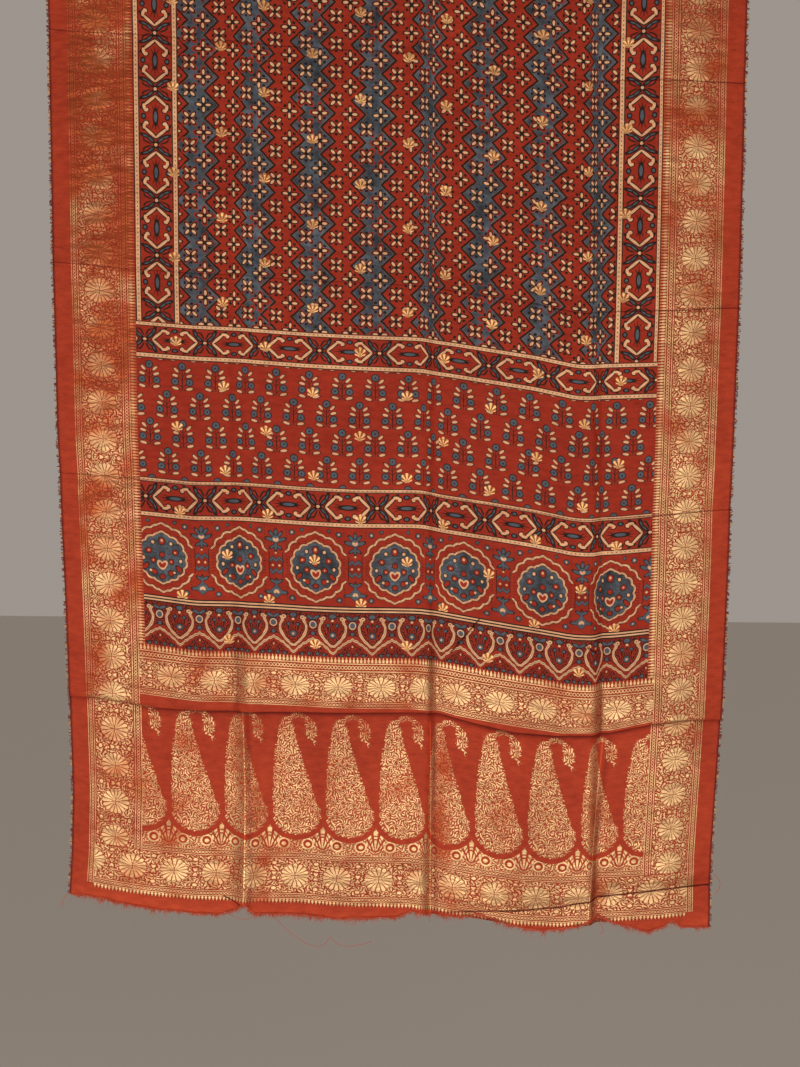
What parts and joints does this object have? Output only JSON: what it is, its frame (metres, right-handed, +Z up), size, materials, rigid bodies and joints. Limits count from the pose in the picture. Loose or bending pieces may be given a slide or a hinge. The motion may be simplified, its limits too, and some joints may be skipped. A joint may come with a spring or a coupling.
{
  "type": "hung ajrakh cloth",
  "caption": "Block-printed ajrakh cloth with woven gold borders and a paisley end panel, hung by its top edge, with packing creases and a raw fringed end",
  "frame": {"origin": "middle of the straight top edge, which is the mount top_edge", "axes": "+X right across the cloth as its face is seen, +Y away from the viewer through the cloth, +Z up; the printed face looks along -Y"},
  "size_m": [0.965, 0.0314, 1.3739],
  "materials": {
    "ajrakh_cloth": "madder red, indigo and cream block print on a soft silk blend, with woven gold zari borders and sprigs"
  },
  "bodies": {
    "root": {"ajrakh_cloth": "ajrakh_cloth"}
  },
  "joints": []
}
